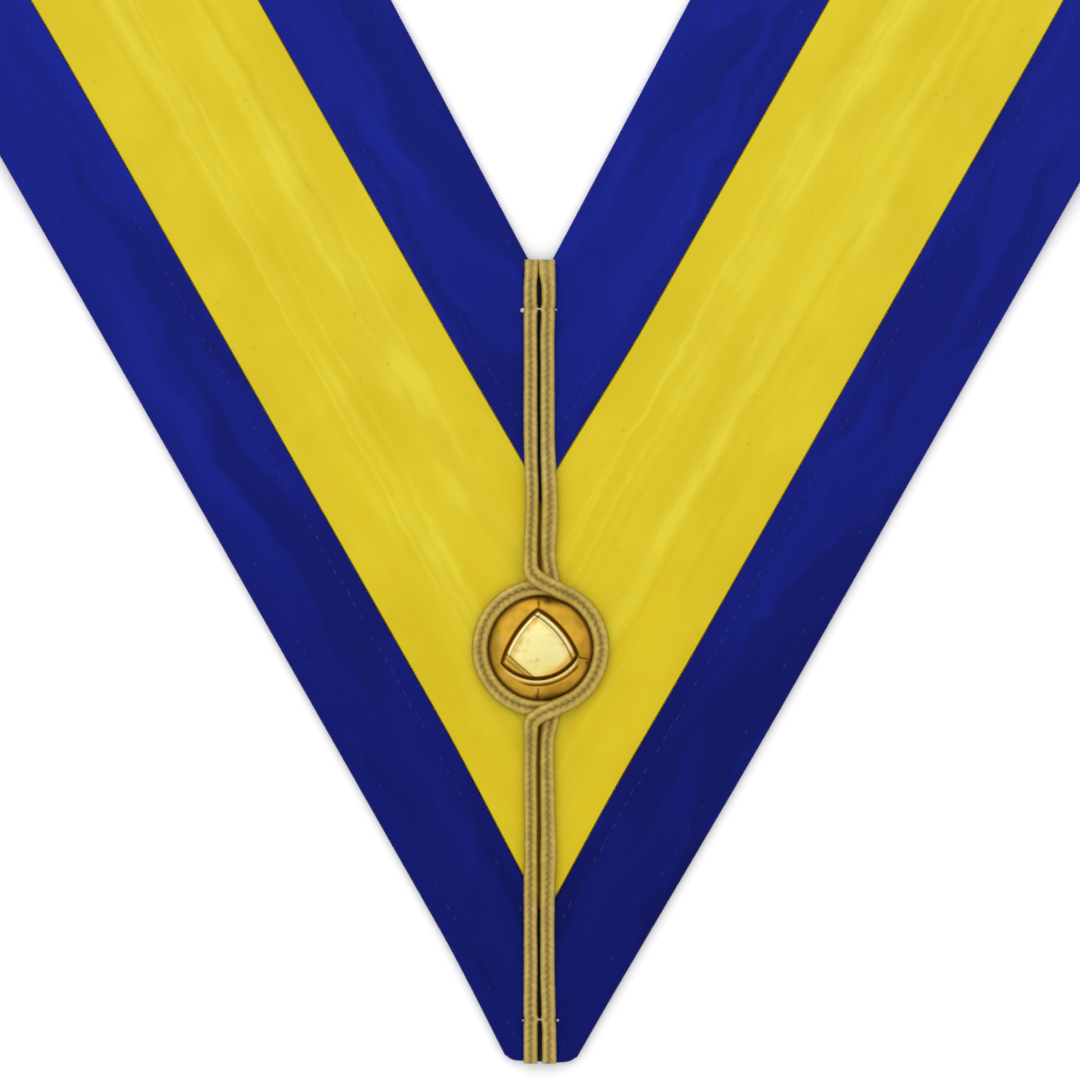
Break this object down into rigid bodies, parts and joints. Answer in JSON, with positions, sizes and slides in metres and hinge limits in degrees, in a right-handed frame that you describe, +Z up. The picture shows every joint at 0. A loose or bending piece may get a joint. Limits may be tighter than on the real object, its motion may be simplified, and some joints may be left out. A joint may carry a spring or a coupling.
{
  "type": "masonic collar",
  "caption": "Flat-laid regalia collar of striped moire ribbon, mitred to a point in front, with gold braid over the seam ringing a domed gilt button.",
  "frame": {"origin": "on the surface that the collar lies on, under the middle of its length and width", "axes": "+Z up out of the face of the collar; -Y towards the front point, +Y towards the back of the neck; +X to the right as seen from above with the point towards the viewer"},
  "size_m": [0.4248, 0.4642, 0.0108],
  "materials": {
    "blue_moire": "deep blue watered ribbon, soft sheen",
    "yellow_moire": "bright yellow watered ribbon, soft sheen",
    "gold_braid": "dull gold wound braid",
    "gilt_metal": "polished gilt with dark grooves"
  },
  "bodies": {
    "root": {"inner_blue_band": "blue_moire", "centre_yellow_band": "yellow_moire", "outer_blue_band": "blue_moire", "upper_braid": "gold_braid", "under_braid": "gold_braid", "gilt_button": "gilt_metal"}
  },
  "joints": []
}
